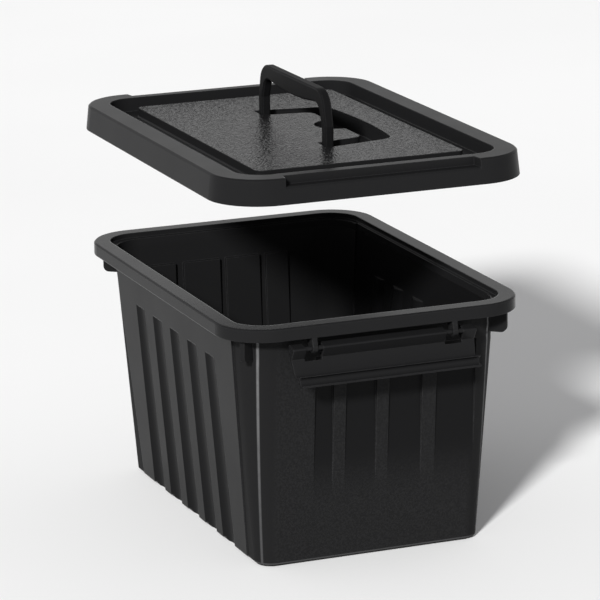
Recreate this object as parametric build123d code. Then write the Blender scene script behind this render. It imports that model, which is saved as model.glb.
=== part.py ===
from build123d import *
import math
import os

# A latching storage box in millimetres: X across the short side, Y along the long side with the
# front at -Y, Z up, origin at the middle of the base on the surface that it stands on.

# Tub
TUB_HEIGHT = 177.0
RIM_WIDTH = 220.8
RIM_LENGTH = 319.2
RIM_CORNER_RADIUS = 35.0
RIM_SKIRT_HEIGHT = 9.0
RIM_BAND = 12.0
RIM_EDGE_BEVEL = 1.0
RIM_OVERHANG = 13.8
TUB_WALL = 2.0
TUB_FLOOR = 2.2
LEDGE_DROP = 3.8
WALL_LEAN = 13.4
BASE_CORNER_RADIUS = 12.5
BASE_BEVEL = 2.0

# Raised side panels with their flutes, on the two long sides
PANEL_SETBACK = 25.0
PANEL_PROUD = 1.5
PANEL_PROUD_FOOT = 0.6
FLUTE_COUNT = 5
FLUTE_PITCH = 36.0
FLUTE_TOP_Z = 138.0
FLUTE_RADIUS = 20.0
FLUTE_TOP_DEPTH = 2.3
FLUTE_BASE_DEPTH = 3.6

# Sunk fields between upright ribs, on the two short sides
FIELD_EDGES = ((-45.0, -31.0), (-22.0, 1.0), (10.0, 35.0), (45.5, 75.0))
FIELD_TOP_Z = 150.0
FIELD_FOOT_Z = 52.0
FIELD_DEPTH = 3.2

# Gussets under the rim corners
GUSSET_THICKNESS = 3.6
GUSSET_DROP = 24.6
GUSSET_INSET = 5.0
GUSSET_ROUND = 4.0
GUSSET_TURN = 40.0

# Latch hinges under the rim
EAR_SPACING = 103.6
EAR_THICKNESS = 3.7
EAR_RADIUS = 2.9
HINGE_INSET = 1.0
HINGE_DROP = 7.4
HINGE_BAR_RADIUS = 1.6
HINGE_CLEARANCE = 0.08
SNAP_GAP = 2.5

# Lid
LID_WALL = 1.5
LID_HEIGHT = 17.8
LID_OVERHANG = 3.0
LID_DRAFT = 2.0
LID_BAND = 15.8
LID_EDGE_BEVEL = 1.2
LID_RAISED = 95.5
CHANNEL_DEPTH = 10.1
CHANNEL_DRAFT = 0.5
PLUG_CLEARANCE = 0.6
LID_PANEL_WIDTH = 153.6
LID_PANEL_LENGTH = 244.0
LID_PANEL_CORNER = 5.0
LID_PANEL_DROP = 2.4
PLINTH_WIDTH = 1.6
PLINTH_HEIGHT = 1.4
LATCH_SEAT_DROP = 6.0
LATCH_SEAT_DEPTH = 8.4
LATCH_SEAT_MARGIN = 2.4
LATCH_SEAT_FLARE = 1.6
LATCH_SEAT_ROUND = 2.2

# Handle well in the lid
WELL_DEPTH = 11.8
WELL_SLOT_START = -4.7
WELL_SIDE_MARGIN = 7.5
WELL_OUTER_TAPER = 10.5
WELL_INNER_MARGIN = 3.5
WELL_INNER_TAPER = 5.7
WELL_GRIP_MARGIN = 4.0
WELL_BULGE = 4.4
WELL_CORNER = 12.0
ISLAND_GAP = 0.4
ISLAND_CORNER = 8.0
FINGER_NOTCH_RADIUS = 17.0
FINGER_NOTCH_OUT = 1.0

# Handle
HANDLE_HEIGHT = 45.0
HANDLE_WIDTH = 6.8
HANDLE_FOOT_OUTER = 64.0
HANDLE_TOP_OUTER = 58.0
HANDLE_LEG = 7.0
HANDLE_STRAIGHT = 20.0
GRIP_HEIGHT = 10.5
GRIP_DROOP = 2.6
HANDLE_OUTER_ROUND = 14.0
HANDLE_INNER_ROUND = 9.0
HANDLE_EDGE_BEVEL = 1.1
PIVOT_DROP = 7.4
TRUNNION_RADIUS = 2.2
TRUNNION_LENGTH = 4.4
TRUNNION_CLEARANCE = 0.08
BOSS_HALF_WIDTH = 4.5
BOSS_DROP = 3.0
BOSS_GAP = 0.4

# Latches
LATCH_WIDTH = 135.2
LATCH_END_TAPER = 1.8
LATCH_REST_SWING = 18.0
LATCH_WALL = 2.0
LATCH_FIT = 0.35
LATCH_LID_GAP = 0.7
LATCH_RIDGE_OUT = 2.9
LATCH_RIDGE_RISE = 4.2
LATCH_RIDGE_FOOT = 6.5
LATCH_RIDGE_ROUND = 0.9
LATCH_PLATE_LEAN = 0.9
LATCH_HOOK_ROUND = 2.6
LATCH_NOSE = 6.0
LATCH_NOSE_FRONT = 0.6
LATCH_WAIST = 2.6
LATCH_TAB_OUT = 6.8
LATCH_TAB_RISE = 0.7
LATCH_TAB_THICKNESS = 1.4
NOTCH_WIDTH = 12.6
NOTCH_DEPTH = 8.0

# Levels and plan sizes that follow from the sizes above
rim_bottom_z = TUB_HEIGHT - RIM_SKIRT_HEIGHT
ledge_z = TUB_HEIGHT - LEDGE_DROP
body_top_z = ledge_z - TUB_WALL
body_top_width = RIM_WIDTH - 2 * RIM_OVERHANG
body_top_length = RIM_LENGTH - 2 * RIM_OVERHANG
mouth_width = RIM_WIDTH - 2 * RIM_BAND
mouth_length = RIM_LENGTH - 2 * RIM_BAND
mouth_radius = RIM_CORNER_RADIUS - RIM_BAND
hinge_y = RIM_LENGTH / 2 - HINGE_INSET
hinge_z = rim_bottom_z - HINGE_DROP
lid_closed_top_z = ledge_z + CHANNEL_DEPTH + LID_WALL
lid_top_z = lid_closed_top_z + LID_RAISED
lid_foot_width = RIM_WIDTH + 2 * LID_OVERHANG
lid_foot_length = RIM_LENGTH + 2 * LID_OVERHANG
lid_foot_radius = RIM_CORNER_RADIUS + LID_OVERHANG
plug_width = mouth_width - 2 * PLUG_CLEARANCE
plug_length = mouth_length - 2 * PLUG_CLEARANCE
plug_radius = mouth_radius - PLUG_CLEARANCE
panel_top_z = lid_top_z - LID_PANEL_DROP
channel_z = lid_top_z - CHANNEL_DEPTH
well_floor_z = panel_top_z - WELL_DEPTH
pivot_z = panel_top_z - PIVOT_DROP
latch_seat_z = lid_top_z - LATCH_SEAT_DROP
latch_backset = lid_foot_length / 2 + LATCH_LID_GAP - hinge_y
latch_reach = lid_closed_top_z - LATCH_SEAT_DROP + LATCH_FIT - hinge_z
latch_tab_reach = lid_closed_top_z + LATCH_TAB_RISE - hinge_z
well_outer_half = HANDLE_FOOT_OUTER + WELL_SIDE_MARGIN
well_inner_half = HANDLE_FOOT_OUTER - HANDLE_LEG - WELL_INNER_MARGIN
well_reach = HANDLE_HEIGHT + WELL_GRIP_MARGIN
island_reach = HANDLE_HEIGHT - GRIP_HEIGHT - GRIP_DROOP - ISLAND_GAP
OVERCUT = 1.0


def rounded_plan(width, length, radius, z):
    """A rounded rectangle lying flat at height z."""
    return Pos(0, 0, z) * RectangleRounded(width, length, radius)


def rounded_block(width, length, radius, z_low, z_high):
    """An upright block with a rounded rectangular plan."""
    return extrude(rounded_plan(width, length, radius, z_low), z_high - z_low)


def lean_at(z):
    """How far the tub wall has leaned in at height z, on each side."""
    return WALL_LEAN * (1 - z / body_top_z)


def body_half_width(z):
    """Distance from the middle to the outer face of the long walls at height z."""
    return body_top_width / 2 - lean_at(z)


def body_half_length(z):
    """Distance from the middle to the outer face of the short walls at height z."""
    return body_top_length / 2 - lean_at(z)


def drafted(plan, height, spread_per_mm):
    """A plan raised to a height, with walls that lean out by so much per millimetre."""
    return extrude(plan, height, taper=-math.degrees(math.atan(spread_per_mm)))


def body_block(bottom_z, top_z, offset):
    """The tapering body, moved out by offset, with a bevelled bottom edge."""
    width = 2 * (body_half_width(bottom_z) + offset)
    length = 2 * (body_half_length(bottom_z) + offset)
    radius = BASE_CORNER_RADIUS + WALL_LEAN * bottom_z / body_top_z + offset
    plan = rounded_plan(width, length, radius, bottom_z)
    block = drafted(plan, top_z - bottom_z, WALL_LEAN / body_top_z)
    return chamfer(block.faces().sort_by(Axis.Z)[0].edges(), BASE_BEVEL)


def panel_half_width(z):
    """Distance from the middle to a side panel's face, which runs into the wall towards the base."""
    proud = PANEL_PROUD_FOOT + (PANEL_PROUD - PANEL_PROUD_FOOT) * z / body_top_z
    return body_half_width(z) + proud


def panel_block(bottom_z, top_z, offset):
    """The block whose two long faces stand proud of the tub as raised side panels."""
    low_x = panel_half_width(bottom_z) + offset
    high_x = panel_half_width(top_z) + offset
    low_y = body_half_length(bottom_z) - PANEL_SETBACK + offset
    high_y = body_half_length(top_z) - PANEL_SETBACK + offset
    across = Polygon((-low_x, bottom_z), (low_x, bottom_z), (high_x, top_z), (-high_x, top_z), align=None)
    along = Polygon((-low_y, bottom_z), (low_y, bottom_z), (high_y, top_z), (-high_y, top_z), align=None)
    return extrude(Plane.XZ * across, RIM_LENGTH, both=True) & extrude(Plane.YZ * along, RIM_WIDTH, both=True)


def flute_cutter(side, y, offset):
    """A round flute in a side panel, deeper and so wider towards the base that it runs through."""
    base_x = panel_half_width(0) + FLUTE_RADIUS - FLUTE_BASE_DEPTH
    top_x = panel_half_width(FLUTE_TOP_Z) + FLUTE_RADIUS - FLUTE_TOP_DEPTH
    tilt = Vector(side * (top_x - base_x), 0, FLUTE_TOP_Z)
    stand = Plane(origin=(side * base_x, y, 0), z_dir=tilt)
    foot = FLUTE_RADIUS / 3 + offset
    length = foot + tilt.length + offset
    upright = (Align.CENTER, Align.CENTER, Align.MIN)
    return stand * Pos(0, 0, -foot) * Cylinder(FLUTE_RADIUS + offset, length, align=upright)


def flute_cutters(offset):
    """All flutes on both long sides."""
    first_y = -FLUTE_PITCH * (FLUTE_COUNT - 1) / 2
    cutters = []
    for side in (-1, 1):
        for index in range(FLUTE_COUNT):
            cutters.append(flute_cutter(side, first_y + index * FLUTE_PITCH, offset))
    return cutters


def field_cutter(x_low, x_high, offset):
    """One sunk field of the front wall, which runs out to nothing at its foot."""
    foot_y = -body_half_length(FIELD_FOOT_Z)
    top_y = -body_half_length(FIELD_TOP_Z) + FIELD_DEPTH
    outer_y = -RIM_LENGTH / 2
    slope = (top_y - foot_y) / (FIELD_TOP_Z - FIELD_FOOT_Z)
    top_z = FIELD_TOP_Z + offset
    profile = Polygon(
        (foot_y + offset, FIELD_FOOT_Z),
        (top_y + offset + slope * offset, top_z),
        (outer_y, top_z),
        (outer_y, FIELD_FOOT_Z),
        align=None,
    )
    width = x_high - x_low + 2 * offset
    return Pos(x_low - offset, 0, 0) * extrude(Plane.YZ * profile, width)


def field_cutters(offset):
    """The sunk fields of both short sides; the back is the front turned half round."""
    cutters = []
    for turn in (0, 180):
        for x_low, x_high in FIELD_EDGES:
            cutters.append(Rot(0, 0, turn) * field_cutter(x_low, x_high, offset))
    return cutters


def rim_shell():
    """The rim: flat band, outer skirt and the collar round the mouth."""
    rim = rounded_block(RIM_WIDTH, RIM_LENGTH, RIM_CORNER_RADIUS, rim_bottom_z, TUB_HEIGHT)
    rim = chamfer(rim.faces().sort_by(Axis.Z)[-1].edges(), RIM_EDGE_BEVEL)
    rim -= rounded_block(
        RIM_WIDTH - 2 * TUB_WALL,
        RIM_LENGTH - 2 * TUB_WALL,
        RIM_CORNER_RADIUS - TUB_WALL,
        rim_bottom_z - OVERCUT,
        TUB_HEIGHT - TUB_WALL,
    )
    collar = rounded_block(
        mouth_width + 2 * TUB_WALL,
        mouth_length + 2 * TUB_WALL,
        mouth_radius + TUB_WALL,
        body_top_z,
        TUB_HEIGHT,
    )
    return rim + collar


def gusset(x_sign, y_sign):
    """An upright fin across one rim corner, from the wall out to the skirt."""
    corner_x = RIM_WIDTH / 2 - RIM_CORNER_RADIUS
    corner_y = RIM_LENGTH / 2 - RIM_CORNER_RADIUS
    reach = RIM_CORNER_RADIUS - GUSSET_INSET
    foot_z = TUB_HEIGHT - TUB_WALL / 2 - GUSSET_DROP
    height = TUB_HEIGHT - TUB_WALL / 2 - foot_z
    profile = Pos(reach / 2, foot_z + height / 2) * Rectangle(reach, height)
    lower_outer = profile.vertices().sort_by(Axis.X)[-2:].sort_by(Axis.Y)[0]
    profile = fillet(lower_outer, GUSSET_ROUND)
    fin = extrude(Plane.XZ * profile, GUSSET_THICKNESS / 2, both=True)
    turn = GUSSET_TURN if x_sign > 0 else 180 - GUSSET_TURN
    turn = turn * y_sign
    return Pos(x_sign * corner_x, y_sign * corner_y, 0) * Rot(0, 0, turn) * fin


def ear(x, y_sign):
    """A hinge ear: a straight rib under the rim with a snap-in seat for the latch's bar."""
    rim_y = RIM_LENGTH / 2
    wall_y = body_half_length(rim_bottom_z) - TUB_WALL / 2
    root_z = TUB_HEIGHT - TUB_WALL / 2
    rib = Polygon(
        (wall_y, root_z),
        (rim_y - TUB_WALL / 2, root_z),
        (rim_y - TUB_WALL / 2, rim_bottom_z),
        (rim_y, rim_bottom_z),
        (hinge_y + EAR_RADIUS, hinge_z),
        (hinge_y, hinge_z - EAR_RADIUS),
        (hinge_y - 2 * EAR_RADIUS, hinge_z),
        align=None,
    )
    knuckle = Pos(hinge_y, hinge_z) * Circle(EAR_RADIUS)
    seat = Pos(hinge_y, hinge_z) * Circle(HINGE_BAR_RADIUS + HINGE_CLEARANCE)
    gap = Pos(hinge_y, hinge_z) * Rot(0, 0, -135) * Pos(EAR_RADIUS, 0) * Rectangle(2 * EAR_RADIUS, SNAP_GAP)
    profile = rib + knuckle - seat - gap
    plate = extrude(Plane.YZ * profile, EAR_THICKNESS / 2, both=True)
    if y_sign < 0:
        plate = mirror(plate, about=Plane.XZ)
    return Pos(x, 0, 0) * plate


def make_tub():
    """The open bin with its rim, ledge, hinge ears and gussets."""
    outer = body_block(0, body_top_z, 0) + panel_block(BASE_BEVEL, body_top_z, 0)
    outer -= flute_cutters(0)
    outer -= field_cutters(0)
    cavity = body_block(TUB_FLOOR, ledge_z, -TUB_WALL)
    cavity += panel_block(TUB_FLOOR + BASE_BEVEL, ledge_z, -TUB_WALL)
    cavity -= flute_cutters(TUB_WALL)
    cavity -= field_cutters(TUB_WALL)
    tub = outer + rim_shell()
    for x_sign in (-1, 1):
        for y_sign in (-1, 1):
            tub += gusset(x_sign, y_sign)
            tub += ear(x_sign * EAR_SPACING / 2, y_sign)
    tub -= cavity
    tub -= rounded_block(mouth_width, mouth_length, mouth_radius, ledge_z, TUB_HEIGHT + OVERCUT)
    return tub


def lid_skirt_block(offset, z_low, z_high):
    """The drafted outer form of the lid, moved in by offset."""
    inset = LID_DRAFT * (z_low - lid_top_z + LID_HEIGHT) / LID_HEIGHT + offset
    width = lid_foot_width - 2 * inset
    length = lid_foot_length - 2 * inset
    plan = rounded_plan(width, length, lid_foot_radius - inset, z_low)
    return drafted(plan, z_high - z_low, -LID_DRAFT / LID_HEIGHT)


def channel_block(offset, z_low, z_high):
    """The drafted space inside the plug wall, moved in by offset."""
    inset = CHANNEL_DRAFT * (lid_top_z - z_low) / CHANNEL_DEPTH + offset
    plan = rounded_plan(plug_width - 2 * inset, plug_length - 2 * inset, plug_radius - inset, z_low)
    return drafted(plan, z_high - z_low, CHANNEL_DRAFT / CHANNEL_DEPTH)


def well_outline():
    """Outer outline of the handle well: a tapering D that bulges at the grip."""
    reach_half = well_outer_half - WELL_OUTER_TAPER
    sides = Polyline(
        (well_reach, reach_half),
        (WELL_SLOT_START, well_outer_half),
        (WELL_SLOT_START, -well_outer_half),
        (well_reach, -reach_half),
    )
    bulge = ThreePointArc(
        (well_reach, -reach_half),
        (well_reach + WELL_BULGE, 0),
        (well_reach, reach_half),
    )
    outline = make_face([sides, bulge])
    grip_corners = outline.vertices().sort_by(Axis.X)[-2:]
    return fillet(grip_corners, WELL_CORNER)


def island_outline(offset):
    """The tongue of the panel inside the well, moved in by offset."""
    reach_half = well_inner_half - WELL_INNER_TAPER - offset
    island = Polygon(
        (WELL_SLOT_START - OVERCUT, well_inner_half - offset),
        (island_reach - offset, reach_half),
        (island_reach - offset, -reach_half),
        (WELL_SLOT_START - OVERCUT, -well_inner_half + offset),
        align=None,
    )
    island = fillet(island.vertices().sort_by(Axis.X)[-2:], ISLAND_CORNER)
    notch = Pos(island_reach + FINGER_NOTCH_OUT, 0) * Circle(FINGER_NOTCH_RADIUS + offset)
    return island - notch


def latch_seat_cutter(y_sign):
    """The step in the lid's edge that a latch hooks over, with splayed ends."""
    back_y = lid_foot_length / 2 - LID_DRAFT - LATCH_SEAT_DEPTH
    front_y = lid_foot_length / 2 + OVERCUT
    back_half = LATCH_WIDTH / 2 + LATCH_SEAT_MARGIN
    front_half = back_half + LATCH_SEAT_FLARE
    plan = Polygon(
        (-back_half, back_y),
        (back_half, back_y),
        (front_half, front_y),
        (-front_half, front_y),
        align=None,
    )
    cutter = extrude(Pos(0, 0, latch_seat_z) * plan, LATCH_SEAT_DROP + OVERCUT)
    if y_sign < 0:
        cutter = mirror(cutter, about=Plane.XZ)
    return cutter


def latch_seat_backing(y_sign):
    """The wall behind and under a latch seat."""
    back_y = lid_foot_length / 2 - LID_DRAFT - LATCH_SEAT_DEPTH - LID_WALL
    front_y = lid_foot_length / 2
    width = LATCH_WIDTH + 2 * (LATCH_SEAT_MARGIN + LATCH_SEAT_FLARE + LID_WALL)
    height = LATCH_SEAT_DROP + LID_WALL
    centre = Pos(0, y_sign * (back_y + front_y) / 2, lid_top_z - height / 2)
    return centre * Box(width, front_y - back_y, height)


def trunnion_boss(y_sign):
    """The wall block that carries one handle trunnion."""
    inner_y = HANDLE_FOOT_OUTER + BOSS_GAP
    outer_y = well_outer_half
    top_z = panel_top_z - BOSS_DROP
    centre = Pos(0, y_sign * (inner_y + outer_y) / 2, (top_z + well_floor_z) / 2)
    return centre * Box(2 * BOSS_HALF_WIDTH, outer_y - inner_y, top_z - well_floor_z)


def trunnion_hole(y_sign):
    """The blind hole for one handle trunnion."""
    length = TRUNNION_LENGTH + BOSS_GAP
    centre_y = y_sign * (HANDLE_FOOT_OUTER + length / 2)
    cylinder = Cylinder(TRUNNION_RADIUS + TRUNNION_CLEARANCE, length)
    return Pos(0, centre_y, pivot_z) * Rot(90, 0, 0) * cylinder


def make_lid():
    """The lid: skirt, rim band, channel, raised panel, handle well and latch seats."""
    lid_foot_z = lid_top_z - LID_HEIGHT
    skirt = lid_skirt_block(0, lid_foot_z, lid_top_z)
    skirt = chamfer(skirt.faces().sort_by(Axis.Z)[-1].edges(), LID_EDGE_BEVEL)
    skirt -= lid_skirt_block(LID_WALL, lid_foot_z - OVERCUT, lid_top_z - LID_WALL)
    backing = latch_seat_backing(-1) + latch_seat_backing(1)
    skirt += backing & lid_skirt_block(LID_WALL / 2, lid_foot_z, lid_top_z - LID_WALL / 2)
    lid = skirt + channel_block(0, channel_z - LID_WALL, lid_top_z - LID_WALL / 2)
    plug_wall = LID_BAND + LID_DRAFT - LID_OVERHANG - RIM_BAND - PLUG_CLEARANCE
    lid -= channel_block(plug_wall, channel_z, lid_top_z + OVERCUT)
    plinth = rounded_block(
        LID_PANEL_WIDTH + 2 * PLINTH_WIDTH,
        LID_PANEL_LENGTH + 2 * PLINTH_WIDTH,
        LID_PANEL_CORNER + PLINTH_WIDTH,
        channel_z - LID_WALL,
        channel_z + PLINTH_HEIGHT,
    )
    panel = rounded_block(
        LID_PANEL_WIDTH, LID_PANEL_LENGTH, LID_PANEL_CORNER, channel_z - LID_WALL, panel_top_z
    )
    lid += plinth + panel
    lid -= rounded_block(
        LID_PANEL_WIDTH - 2 * LID_WALL,
        LID_PANEL_LENGTH - 2 * LID_WALL,
        LID_PANEL_CORNER - LID_WALL,
        channel_z - LID_WALL - OVERCUT,
        panel_top_z - LID_WALL,
    )
    outline = well_outline()
    housing = offset(outline, LID_WALL)
    lid += extrude(Pos(0, 0, well_floor_z - LID_WALL) * housing, WELL_DEPTH + LID_WALL)
    island = island_outline(0)
    lid -= extrude(Pos(0, 0, well_floor_z) * (outline - island), WELL_DEPTH + OVERCUT)
    hollow_height = WELL_DEPTH + OVERCUT
    lid -= extrude(Pos(0, 0, well_floor_z - LID_WALL - OVERCUT) * island_outline(LID_WALL), hollow_height)
    for y_sign in (-1, 1):
        lid += trunnion_boss(y_sign)
        lid -= trunnion_hole(y_sign)
        lid -= latch_seat_cutter(y_sign)
    seat_edges = lid.edges().filter_by(lambda edge: abs(edge.center().Z - latch_seat_z) < 0.01)
    seat_edges = seat_edges.filter_by(lambda edge: abs(edge.center().Y) > lid_foot_length / 2 - LID_DRAFT)
    return fillet(seat_edges.filter_by(Axis.X), LATCH_SEAT_ROUND)


def bail_outline(foot_half, top_half, top_z, low_z):
    """Half-round cornered outline of the bail, out to its outer or inner edge."""
    return Polygon(
        (-foot_half, low_z),
        (-foot_half, HANDLE_STRAIGHT),
        (-top_half, top_z),
        (top_half, top_z),
        (foot_half, HANDLE_STRAIGHT),
        (foot_half, low_z),
        align=None,
    )


def make_handle():
    """The bail handle, upright, with its two trunnion stubs."""
    end_radius = HANDLE_WIDTH / 2
    outer = bail_outline(HANDLE_FOOT_OUTER, HANDLE_TOP_OUTER, HANDLE_HEIGHT, -end_radius)
    outer = fillet(outer.vertices().sort_by(Axis.Y)[-2:], HANDLE_OUTER_ROUND)
    grip_low = HANDLE_HEIGHT - GRIP_HEIGHT
    inner_foot = HANDLE_FOOT_OUTER - HANDLE_LEG
    inner_top = HANDLE_TOP_OUTER - HANDLE_LEG
    inner = bail_outline(inner_foot, inner_top, grip_low, -end_radius - OVERCUT)
    inner = fillet(inner.vertices().sort_by(Axis.Y)[-2:], HANDLE_INNER_ROUND)
    flat_half = inner_top - HANDLE_INNER_ROUND
    droop = make_face(
        [
            ThreePointArc((-flat_half, grip_low), (0, grip_low - GRIP_DROOP), (flat_half, grip_low)),
            Line((flat_half, grip_low), (-flat_half, grip_low)),
        ]
    )
    profile = outer - inner + droop
    bail = extrude(Plane.YZ * profile, HANDLE_WIDTH / 2, both=True)
    long_edges = bail.edges().filter_by(lambda edge: edge.center().Z > -end_radius + 0.01)
    long_edges = long_edges.filter_by(lambda edge: abs(abs(edge.center().X) - HANDLE_WIDTH / 2) < 0.01)
    bail = chamfer(long_edges, HANDLE_EDGE_BEVEL)
    rounded_foot = Rot(90, 0, 0) * Cylinder(end_radius, 2 * HANDLE_FOOT_OUTER)
    upper = Pos(0, 0, HANDLE_HEIGHT / 2) * Box(4 * end_radius, 3 * HANDLE_FOOT_OUTER, HANDLE_HEIGHT)
    bail &= rounded_foot + upper
    stub_length = TRUNNION_LENGTH + HANDLE_LEG / 2
    for y_sign in (-1, 1):
        stub_y = y_sign * (HANDLE_FOOT_OUTER - HANDLE_LEG / 2 + stub_length / 2)
        bail += Pos(0, stub_y, 0) * Rot(90, 0, 0) * Cylinder(TRUNNION_RADIUS, stub_length)
    return Pos(0, 0, pivot_z) * bail


def latch_section():
    """Section of a latch that hangs from its bar: outward is +X, down is -Y, the bar at the origin."""
    plate_top = -latch_backset
    plate_foot = -latch_backset + LATCH_PLATE_LEAN
    nose_low = -latch_reach - LATCH_NOSE_FRONT
    waist_z = (nose_low - latch_tab_reach) / 2
    tab_low = -latch_tab_reach - LATCH_TAB_THICKNESS
    hook_low = -latch_reach - LATCH_WALL
    ridge = Polygon(
        (plate_top - LATCH_WALL, LATCH_RIDGE_RISE),
        (plate_top, LATCH_RIDGE_RISE),
        (LATCH_RIDGE_OUT, 0),
        (plate_top, -LATCH_RIDGE_FOOT),
        (plate_top - LATCH_WALL, -LATCH_RIDGE_FOOT),
        align=None,
    )
    ridge = fillet(ridge.vertices().sort_by(Axis.X)[-1], LATCH_RIDGE_ROUND)
    front = [
        Line((plate_top, 0), (plate_foot, -latch_reach)),
        Line((plate_foot, -latch_reach), (LATCH_NOSE, -latch_reach)),
        Line((LATCH_NOSE, -latch_reach), (LATCH_NOSE, nose_low)),
        ThreePointArc((LATCH_NOSE, nose_low), (LATCH_WAIST, waist_z), (LATCH_NOSE, -latch_tab_reach)),
        Line((LATCH_NOSE, -latch_tab_reach), (LATCH_TAB_OUT, -latch_tab_reach)),
        Line((LATCH_TAB_OUT, -latch_tab_reach), (LATCH_TAB_OUT, tab_low)),
        Line((LATCH_TAB_OUT, tab_low), (LATCH_NOSE - LATCH_WALL, tab_low)),
        ThreePointArc(
            (LATCH_NOSE - LATCH_WALL, tab_low),
            (LATCH_WAIST - LATCH_WALL, waist_z),
            (LATCH_NOSE - 2 * LATCH_WALL, hook_low),
        ),
        Line((LATCH_NOSE - 2 * LATCH_WALL, hook_low), (plate_foot - LATCH_WALL, hook_low)),
        Line((plate_foot - LATCH_WALL, hook_low), (plate_top - LATCH_WALL, 0)),
        Line((plate_top - LATCH_WALL, 0), (plate_top, 0)),
    ]
    hook = make_face(front)
    inner_bend = hook.vertices().sort_by_distance((plate_foot, -latch_reach, 0))[0]
    hook = fillet(inner_bend, LATCH_HOOK_ROUND)
    outer_bend = hook.vertices().sort_by_distance((plate_foot - LATCH_WALL, hook_low, 0))[0]
    hook = fillet(outer_bend, LATCH_HOOK_ROUND + LATCH_WALL)
    return hook + ridge


def latch_outline():
    """Front outline of a latch, whose ends draw in from the ridge's foot to the finger tab."""
    half = LATCH_WIDTH / 2
    tab_half = half - LATCH_END_TAPER
    tab_low = -latch_tab_reach - LATCH_TAB_THICKNESS
    return Polygon(
        (-half, LATCH_RIDGE_RISE),
        (-half, -LATCH_RIDGE_FOOT),
        (-tab_half, tab_low),
        (tab_half, tab_low),
        (half, -LATCH_RIDGE_FOOT),
        (half, LATCH_RIDGE_RISE),
        align=None,
    )


def make_latch(y_sign):
    """A latch plate with its ridge, hook and finger tab, notched round the two hinge ears."""
    section_plane = Plane(origin=(0, 0, 0), x_dir=(0, -1, 0), z_dir=(-1, 0, 0))
    latch = extrude(section_plane * latch_section(), LATCH_WIDTH / 2, both=True)
    latch &= extrude(Plane.XZ * latch_outline(), 4 * latch_tab_reach, both=True)
    for x_sign in (-1, 1):
        notch_top = LATCH_RIDGE_RISE + OVERCUT
        notch = Box(NOTCH_WIDTH, 4 * latch_backset, notch_top + NOTCH_DEPTH)
        latch -= Pos(x_sign * EAR_SPACING / 2, 0, (notch_top - NOTCH_DEPTH) / 2) * notch
        bar = Rot(0, 90, 0) * Cylinder(HINGE_BAR_RADIUS, NOTCH_WIDTH + 2 * OVERCUT)
        latch += Pos(x_sign * EAR_SPACING / 2, 0, 0) * bar
    latch = Rot(-LATCH_REST_SWING, 0, 0) * latch
    if y_sign > 0:
        latch = mirror(latch, about=Plane.XZ)
    return Pos(0, y_sign * hinge_y, hinge_z) * latch


def main():
    """Build every piece and write it under its own name."""
    os.makedirs("parts", exist_ok=True)
    pieces = {
        "tub": make_tub(),
        "lid": make_lid(),
        "lid_handle": make_handle(),
        "front_latch": make_latch(-1),
        "rear_latch": make_latch(1),
    }
    for name, piece in pieces.items():
        export_step(piece, f"parts/{name}.step")


main()
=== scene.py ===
import math

import bmesh
import bpy
from bpy.props import FloatProperty, FloatVectorProperty, PointerProperty
from mathutils import Matrix, Vector


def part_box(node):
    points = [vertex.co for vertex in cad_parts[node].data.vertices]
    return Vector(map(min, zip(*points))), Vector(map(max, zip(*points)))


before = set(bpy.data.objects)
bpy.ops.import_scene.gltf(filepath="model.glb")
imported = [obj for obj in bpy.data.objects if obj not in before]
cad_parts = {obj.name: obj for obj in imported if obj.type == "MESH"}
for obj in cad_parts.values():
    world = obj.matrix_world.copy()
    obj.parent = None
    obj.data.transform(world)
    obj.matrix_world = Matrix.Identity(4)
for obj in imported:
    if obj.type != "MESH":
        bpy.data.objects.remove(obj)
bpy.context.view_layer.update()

bl_info = {
    "name": "Latching Storage Box",
    "version": (1, 0, 0),
    "blender": (4, 5, 0),
    "location": "View3D > Sidebar > Storage Box",
    "description": "Finishes a storage tub, its lid, bail handle and latch bars, and sets their stage",
    "category": "Object",
}

tub_low, tub_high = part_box("tub")
_, lid_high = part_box("lid")

# Kinds of node group sockets
FLOAT = "NodeSocketFloat"
VECTOR = "NodeSocketVector"
COLOUR = "NodeSocketColor"

# Outlines of the moulding that the finishes follow, in metres; leans and spreads are per metre of height
RIM_SKIRT_HEIGHT = 0.009
SIDE_PANEL_FOOT_HALF = 0.1074
SIDE_PANEL_SPREAD = 0.0783
LID_PANEL_DROP = 0.0024
LID_PANEL_BELOW = 0.001
LID_PANEL_ABOVE = 0.002
LID_PANEL_HALF_WIDTH = 0.0768
LID_PANEL_HALF_LENGTH = 0.122
FIELD_EDGES = ((-0.0450, -0.0310), (-0.0220, 0.0010), (0.0100, 0.0350), (0.0455, 0.0750))
FIELD_TOP = 0.150
FIELD_FADE_START = 0.037
FIELD_FADE_END = 0.082
FIELD_BACK_FOOT = 0.1331
FIELD_BACK_LEAN = 0.0471
GRAIN_BACK_FOOT = 0.1314
GRAIN_BACK_LEAN = 0.0798
GRAIN_HALF_FULL = 0.070
GRAIN_HALF_END = 0.077
MASK_FEATHER = 0.0004

# Painted highlights: pale lines along the tub's upright corners and its base edge stand in for reflections
# on them, broken up by noise
CORNER_CENTRE = (0.0707, 0.1199)
CORNER_FOOT_RADIUS = 0.0125
CORNER_SPREAD = 0.0798
CORNER_HIGHLIGHT_FOOT_ANGLE = math.radians(38.0)
CORNER_HIGHLIGHT_TWIST = math.radians(95.0)
CORNER_HIGHLIGHT_CORE = 0.0004
CORNER_HIGHLIGHT_EDGE = 0.0014
CORNER_HIGHLIGHT_FOOT_SHARE = 0.35
BASE_HIGHLIGHT_HEIGHT = 0.0020
BASE_HIGHLIGHT_CORE = 0.0003
BASE_HIGHLIGHT_EDGE = 0.0009
BASE_HIGHLIGHT_SHARE = 0.38
HIGHLIGHT_BREAKUP_SCALE = 160.0
HIGHLIGHT_BREAKUP_DETAIL = 2.0
HIGHLIGHT_BREAKUP_ROUGHNESS = 0.5
HIGHLIGHT_BREAKUP_START = 0.30
HIGHLIGHT_BREAKUP_FULL = 0.55
HIGHLIGHT_BREAKUP_LEAST = 0.85
HALF_WALL = 0.001

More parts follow.
